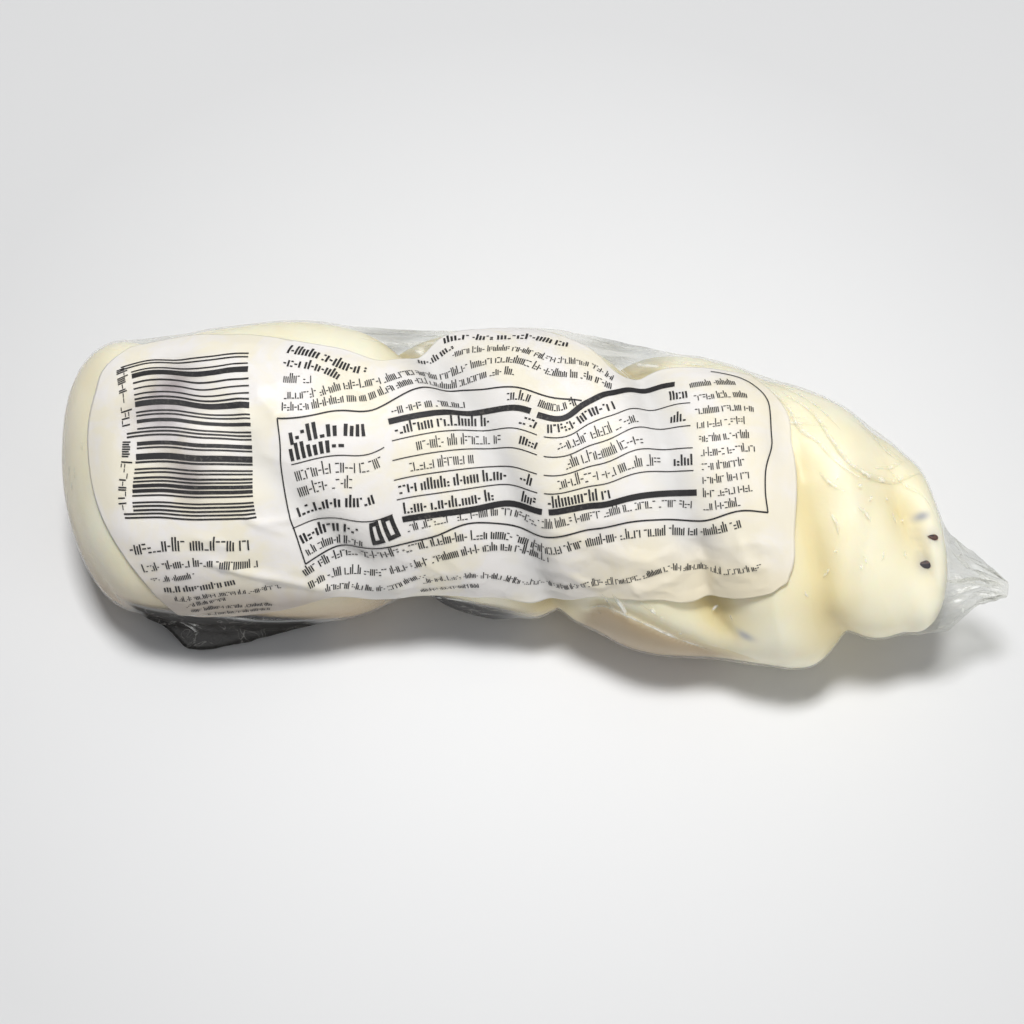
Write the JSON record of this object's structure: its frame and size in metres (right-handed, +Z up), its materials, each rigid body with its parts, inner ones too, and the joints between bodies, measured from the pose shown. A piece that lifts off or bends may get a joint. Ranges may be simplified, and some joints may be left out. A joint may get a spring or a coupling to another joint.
{
  "type": "string cheese",
  "caption": "Twisted string cheese with dark seeds, shrunk tight in a clear film bag with a printed label along one side and a gathered film tail at one end.",
  "frame": {"origin": "middle of the bounding box's base, on the plane the pack lies on", "axes": "+X along the pack towards the gathered tail, +Y towards the label's upper edge, +Z up, with the label facing up and forward"},
  "size_m": [0.1732, 0.0595, 0.0435],
  "materials": {
    "film": "clear shrink film, glossy and creased",
    "label": "white label film, satin",
    "cheese": "moist pale cheese, soft sheen",
    "seed": "dark seeds under the film",
    "ink": "flat black print"
  },
  "bodies": {
    "root": {"cheese_pack": "film", "label": "label"}
  },
  "joints": []
}
